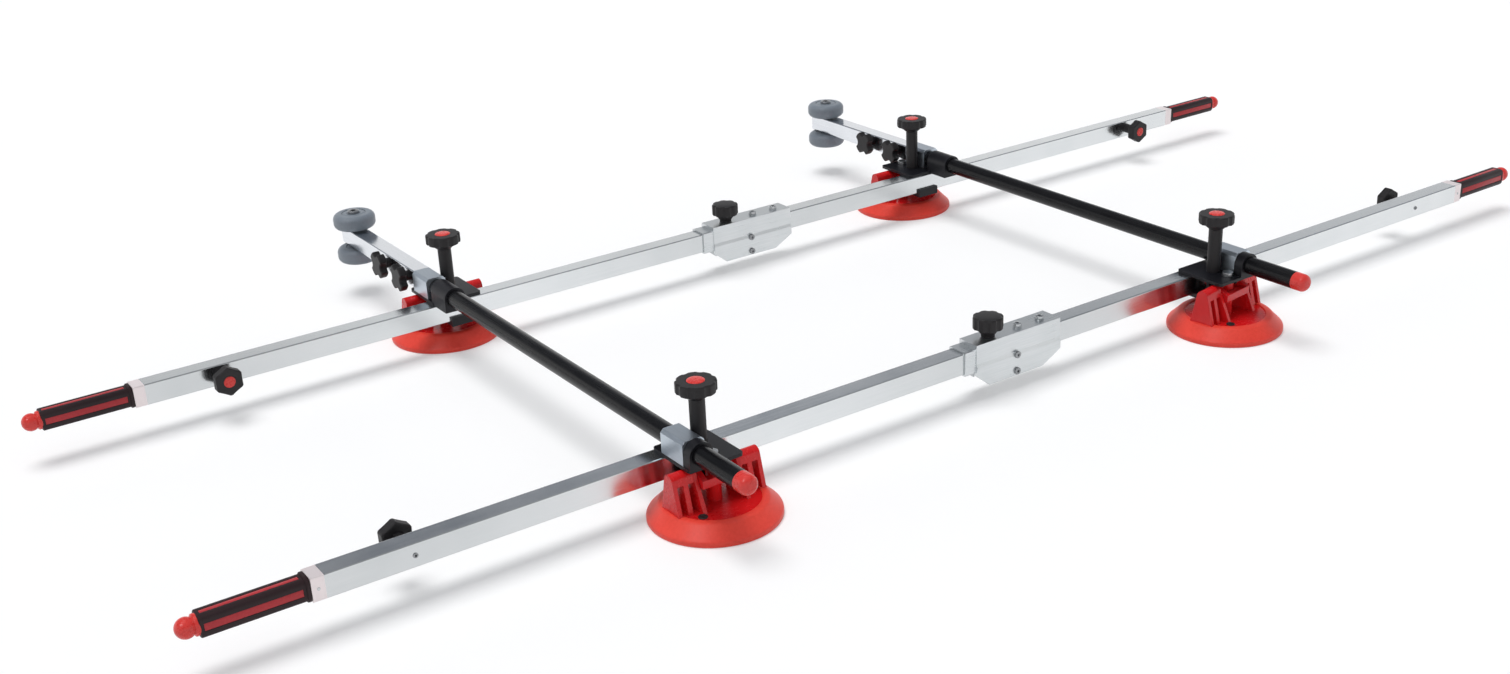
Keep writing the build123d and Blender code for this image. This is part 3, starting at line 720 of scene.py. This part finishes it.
# %% Grips in place
ball_radius = 10.8
ball_place = 10.2
ball_angles = [math.radians(degrees) for degrees in range(60, 181, 8)]
ball_arc = [
    (ball_radius * math.sin(angle), ball_place - ball_radius * math.cos(angle)) for angle in ball_angles
]
collar_outline = [
    (0.0, -1.5), (10.7, -1.5), (11.3, -0.8), (11.3, 2.4), (11.0, 3.1), (10.2, 3.7), (9.4, 4.0), (9.2, 4.4),
]
behind_flange = Matrix.Translation((grip_flange[2], 0, 0))
grip_end = grip_flange[2] + grip_sleeve[2]
for corner in corners:
    low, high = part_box(f"{corner}_grip")
    outward = 1 if corner.endswith("right") else -1
    start = low.x if outward > 0 else high.x
    line = (low + high) / 2
    aim = Matrix.Rotation(0 if outward > 0 else math.pi, 4, "Z")
    sleeve = place_piece(
        gather([(flange_shape(), Matrix.Identity(4)), (sleeve_shape(), behind_flange)]),
        f"{corner}_grip_sleeve", Matrix.Translation((start, line.y, line.z)) @ aim,
        f"{corner}_handle", "grip_black", grip_rubber, stripe_red,
    )
    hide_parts(f"{corner}_grip")
    place_piece(
        turned(collar_outline + ball_arc), f"{corner}_grip_ball",
        at(start + outward * grip_end, line.y, line.z, (outward, 0, 0)),
        f"{corner}_handle", "cap_red", cap_plastic,
    )
print("grips", len(corners), "reaching", round((high.x - low.x) / mm, 1), "mm from the rail")

# %% [markdown]
# Red caps close the clamp knobs and the side knobs. Each is a low dome seated in the round recess of its
# knob, turned on the lathe. The splice knobs have no cap: their heads swell into a plain black dome.

# %% Knob caps
cap_foot = -0.4
cap_shares = ((1.0, 0.5), (0.92, 0.8), (0.70, 0.95), (0.35, 1.0), (0.0, 1.0))
recess_depth = 1.0
clamp_cap = (10.2, 1.9)
side_cap = (7.3, 1.8)
splice_dome = [
    (0.0, -0.5), (15.6, -0.5), (15.5, 0.05), (14.6, 0.2), (12.4, 0.42),
    (9.4, 0.6), (6.2, 0.72), (3.0, 0.78), (0.0, 0.8),
]


def cap_outline(radius, rise):
    """The outline of a low dome that reaches a little below the floor of its recess."""
    dome = [(across * radius, up * rise) for across, up in cap_shares]
    return [(0.0, cap_foot), (radius, cap_foot), *dome]


for corner in corners:
    low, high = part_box(f"{corner}_clamp_knob")
    centre = (low + high) / 2
    place_piece(
        turned(cap_outline(*clamp_cap)), f"{corner}_clamp_cap",
        at(centre.x, centre.y, high.z - recess_depth * mm),
        f"{corner}_clamp_lock", "cap_red", cap_plastic,
    )
    low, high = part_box(f"{corner}_side_knob")
    centre = (low + high) / 2
    inward = -1 if corner.startswith("far") else 1
    face = high.y if inward > 0 else low.y
    place_piece(
        turned(cap_outline(*side_cap)), f"{corner}_side_cap",
        at(centre.x, face - inward * recess_depth * mm, centre.z, (0, inward, 0)),
        f"{corner}_handle_lock", "cap_red", cap_plastic,
    )
for side in sides:
    low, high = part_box(f"{side}_splice_knob")
    centre = (low + high) / 2
    place_piece(
        turned(splice_dome), f"{side}_splice_dome", at(centre.x, centre.y, high.z), f"{side}_splice_lock",
        "knob_black", knob_plastic,
    )
print("knob caps", 2 * len(corners), "and domes", len(sides))

# %% [markdown]
# Screw heads: a turned head with a hexagon socket. The head is an extruded ring, the hexagon a second
# ring of six points, and bridging the two rings makes the top face around the socket. A boolean could cut
# the same socket, but it needs a second shape to cut with, and the bridge doesn't.

# %% Socket head
head_segments = 36
head_shares = ((0.78, 1.0), (0.14, 0.96), (0.08, 0.88))
socket_sides = 6
socket_share = 0.6


def edges_at(points):
    """The edges at some points, each once and in a fixed order."""
    return list(dict.fromkeys(edge for point in points for edge in point.link_edges))


def ring_of(shape, radius, segments, height, cap_ends):
    """A ring of points at a height, in millimetres."""
    where = Matrix.Translation((0, 0, height * mm))
    ring = bmesh.ops.create_circle(
        shape, cap_ends=cap_ends, radius=radius * mm, segments=segments, matrix=where,
    )
    return ring["verts"]


def socket_head(radius, height, socket):
    """A screw head on z=0, in millimetres, with a hexagon socket in its top."""
    shape = bmesh.new()
    edges = edges_at(ring_of(shape, radius, head_segments, 0.0, True))
    for rise, scale in head_shares:
        grown = bmesh.ops.extrude_edge_only(shape, edges=edges)["geom"]
        ring = only(bmesh.types.BMVert, grown)
        new_edges = only(bmesh.types.BMEdge, grown)
        edges = [edge for edge in new_edges if all(vert in ring for vert in edge.verts)]
        bmesh.ops.translate(shape, vec=(0, 0, rise * height * mm), verts=ring)
        bmesh.ops.scale(shape, vec=(scale, scale, 1), verts=ring)
    mouth = edges_at(ring_of(shape, socket, socket_sides, height, False))
    bmesh.ops.bridge_loops(shape, edges=edges + mouth)
    grown = bmesh.ops.extrude_edge_only(shape, edges=mouth)["geom"]
    socket_floor = only(bmesh.types.BMVert, grown)
    bmesh.ops.translate(shape, vec=(0, 0, -socket_share * height * mm), verts=socket_floor)
    bmesh.ops.contextual_create(shape, geom=socket_floor)
    return shape


print("socket head ready")

# %% [markdown]
# The splices carry two sizes of head, each given by its radius, height and socket. The bolts on the roof
# are bright, the screws through the plates darker, so the faces of those take material 1.

# %% Splice screws
splice_bolt = (5.5, 4.0, 2.6)
splice_screw = (4.5, 2.5, 1.9)
splice_bolt_places = (0.020, 0.057)
splice_screw_place = 0.005
splice_screw_heights = (0.0238, 0.0455)
for side in sides:
    low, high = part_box(f"{side}_splice")
    rail_line = (low.y + high.y) / 2
    heads = [(socket_head(*splice_bolt), at(along, rail_line, high.z)) for along in splice_bolt_places]
    for height in splice_screw_heights:
        for face, out in ((low.y, -1), (high.y, 1)):
            head = socket_head(*splice_screw)
            for flat in head.faces:
                flat.material_index = 1
            heads.append((head, at(splice_screw_place, face, height, (0, out, 0))))
    piece = place_piece(
        gather(heads), f"{side}_splice_heads", Matrix.Identity(4), f"{side}_right_frame", "fastener_steel",
        bolt_steel, screw_steel,
    )
    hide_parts(f"{side}_splice_screws")
print("splice screw heads", len(heads), "on each splice")

# %% [markdown]
# The thick lower plate of a splice runs up into the thinner wall above it in a short slope, which catches
# the light of the white walls. A triangle of three points, pushed along X, gives that shoulder. Its thin
# upper edge is sunk into the wall, because a knife edge in the open would catch the dark ceiling.

# %% Plate shoulders
plate_start = -0.060
plate_top = 0.045
shoulder_depth = 0.0025
shoulder_rise = 0.0070
shoulder_end = 0.0003


def shoulder(length):
    """A wedge along X from the origin, sloping back from a plate's face."""
    shape = bmesh.new()
    profile = ((0, 0, 0), (0, shoulder_depth, 0), (0, shoulder_depth, shoulder_rise))
    push(shape, shape.faces.new([shape.verts.new(point) for point in profile]), length, 1.0)
    return shape


for side in sides:
    low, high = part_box(f"{side}_splice")
    start = plate_start + shoulder_end
    stop = high.x - shoulder_end
    length = stop - start
    front = Matrix.Translation((start, low.y, plate_top))
    back = Matrix.Translation((stop, high.y, plate_top)) @ Matrix.Rotation(math.pi, 4, "Z")
    place_piece(
        gather([(shoulder(length), front), (shoulder(length), back)]), f"{side}_plate_shoulders",
        Matrix.Identity(4), f"{side}_right_frame", "splice_aluminium", splice_metal,
    )
print("plate shoulders", round(length / mm), "mm long")

# %% [markdown]
# Small hardware on the rails: the screw that holds the guide of each handle on the outer face, and the
# pin that locks the bush at the rail's end. Both sit at half the rail's height, which its solid gives.

# %% Rail screws and pins
rail_screw = (2.8, 1.0, 1.3)
bush_pin_outline = [(0.0, -0.5), (1.8, -0.5), (1.8, 0.3), (1.4, 0.6), (0.0, 0.7)]
bush_pin_steps = 24
guide_screw_place = 0.794
bush_pin_place = 0.895
for side, out in zip(sides, (-1, 1)):
    for end, way in zip(ends, (-1, 1)):
        low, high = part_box(f"{side}_rail_{end}")
        face = low.y if out < 0 else high.y
        height = (low.z + high.z) / 2
        place_piece(
            socket_head(*rail_screw), f"{side}_{end}_guide_screw",
            at(way * guide_screw_place, face, height, (0, out, 0)),
            f"{side}_{end}_frame", "fastener_steel", screw_steel,
        )
        place_piece(
            turned(bush_pin_outline, bush_pin_steps), f"{side}_{end}_bush_pin",
            at(way * bush_pin_place, face, height, (0, out, 0)),
            f"{side}_{end}_frame", "fastener_steel", bolt_steel,
        )
print("rail screws and pins", 2 * len(corners))

# %% [markdown]
# The cups' small parts: the steel ends of the lever pins, inside the lever's arms, and the dark vent valve
# in the deck. They are placed in the cup's own directions, because each cup stands turned.

# %% Cup hardware
pin_height = 0.0577
pin_face = 0.01825
vent_spot = (0.035, 0.031, 0.0185)
small_steps = 32
pin_outline = [(0.0, -0.3), (3.9, -0.3), (3.9, 0.2), (3.4, 0.55), (2.0, 0.75), (0.0, 0.8)]
vent_outline = [
    (0.0, -0.5), (3.3, -0.5), (3.3, 2.95), (5.2, 2.95), (5.5, 3.3), (5.4, 3.9), (4.9, 4.4), (3.4, 4.6),
    (2.9, 4.3), (2.6, 3.6), (0.0, 3.6),
]
cup_turn = {"near_left": 180, "near_right": 188, "far_left": 0, "far_right": 0}
for corner in corners:
    centre = middle(f"{corner}_cup_pad")
    turned_by = Matrix.Rotation(math.radians(cup_turn[corner]), 4, "Z")
    cup = Matrix.Translation((centre.x, centre.y, 0)) @ turned_by
    pin_places = [at(way * pin_face, 0, pin_height, (-way, 0, 0)) for way in (-1, 1)]
    pins = [(turned(pin_outline, small_steps), where) for where in pin_places]
    place_piece(gather(pins), f"{corner}_pin_ends", cup, f"{corner}_lever", "fastener_steel", screw_steel)
    place_piece(
        turned(vent_outline, small_steps), f"{corner}_vent_valve", cup @ Matrix.Translation(vent_spot),
        f"{corner}_cup", "knob_black", valve_rubber,
    )
print("cup pins and valves", len(corners))

# %% [markdown]
# The wheels run on a vertical bolt. Its two ends get socket heads, which stay with the arm, and each wheel
# gets a moulded hub ring in the recess on both of its faces, which turns with it.

# %% Wheel hardware
axle_head = (8.2, 3.2, 4.0)
axle_head_height = 3.0
recess_floor = 1.2
hub_ring_outline = [
    (9.6, -0.4), (9.6, 0.6), (10.0, 0.9), (15.8, 0.9), (16.4, 0.6), (16.4, -0.4), (9.6, -0.4),
]
for end in ends:
    low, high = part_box(f"{end}_wheel_arm")
    for level, up in (("upper", 1), ("lower", -1)):
        wheel_low, wheel_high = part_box(f"{end}_{level}_wheel")
        centre = (wheel_low + wheel_high) / 2
        seat = (high.z if up > 0 else low.z) - up * axle_head_height * mm
        place_piece(
            socket_head(*axle_head), f"{end}_{level}_axle_head", at(centre.x, centre.y, seat, (0, 0, up)),
            f"{end}_arm", "fastener_steel", screw_steel,
        )
        rings = []
        for face, out in ((wheel_low.z, -1), (wheel_high.z, 1)):
            floor_height = face - out * recess_floor * mm
            rings.append((turned(hub_ring_outline), at(centre.x, centre.y, floor_height, (0, 0, out))))
        place_piece(
            gather(rings), f"{end}_{level}_hub_rings", Matrix.Identity(4), f"{end}_{level}_roller",
            "wheel_grey", wheel_plastic,
        )
print("axle heads and hub rings", 2 * len(ends))
